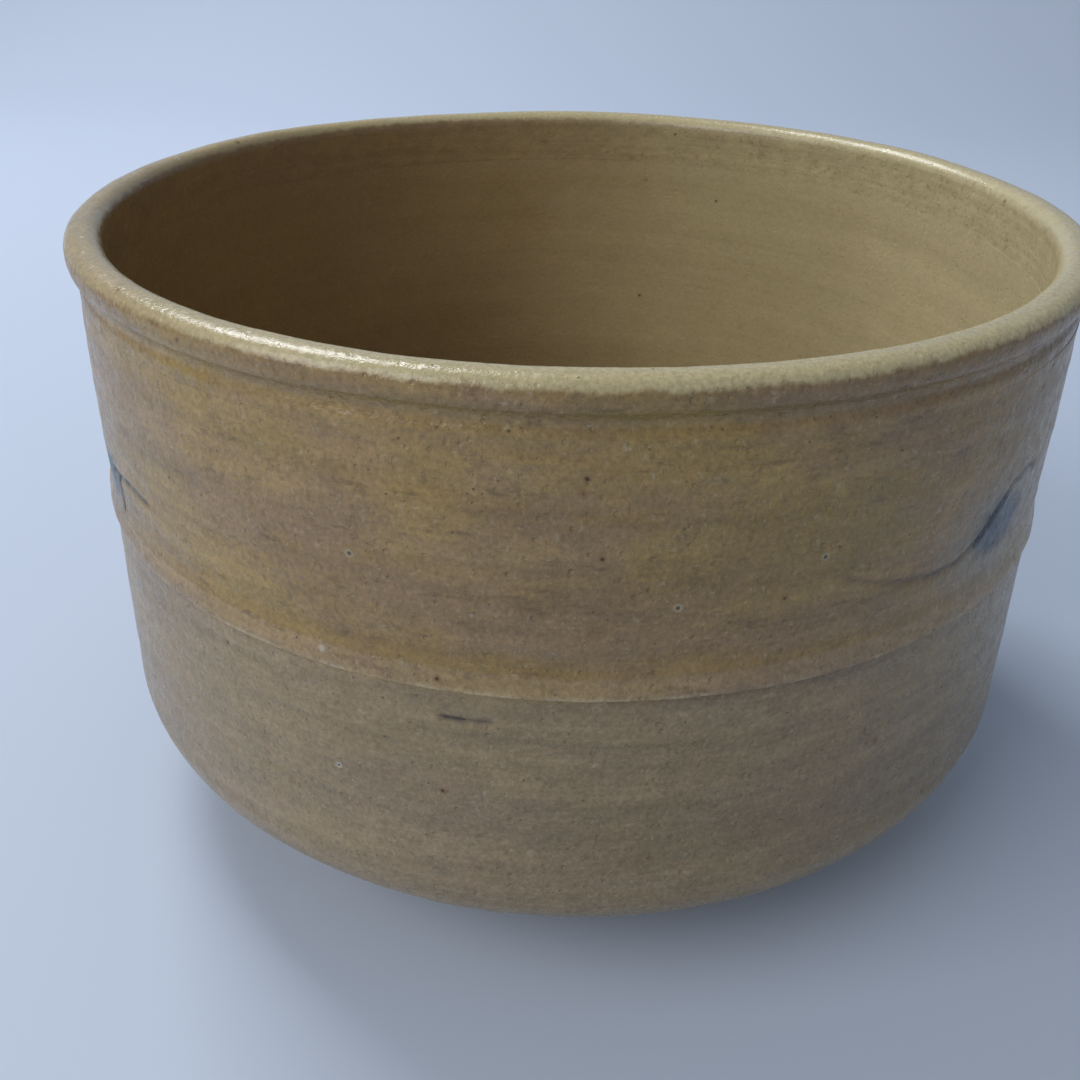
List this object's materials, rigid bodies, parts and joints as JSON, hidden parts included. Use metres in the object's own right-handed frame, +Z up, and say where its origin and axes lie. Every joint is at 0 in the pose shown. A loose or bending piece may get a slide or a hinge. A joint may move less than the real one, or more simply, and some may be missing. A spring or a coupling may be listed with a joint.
{
  "type": "matcha bowl",
  "caption": "Half-cylinder stoneware tea bowl with a rolled lip, a raised waist band, a turned foot ring and glaze inside and out.",
  "frame": {"origin": "middle of the circle that the foot ring stands on", "axes": "+Z up along the axis the bowl was turned about; the face with the pale worn lip is towards -Y"},
  "size_m": [0.1242, 0.1242, 0.078],
  "materials": {
    "stoneware": "bare fired clay, slightly gritty",
    "glaze_outside": "satin, fine orange-peel grain, mottled yellow and grey-brown",
    "glaze_inside": "smooth satin, olive yellow"
  },
  "bodies": {
    "root": {"clay_body": "stoneware", "lip_roll": "stoneware", "waist_band": "stoneware", "foot_ring": "stoneware", "outer_glaze": "glaze_outside", "inner_glaze": "glaze_inside"}
  },
  "joints": []
}
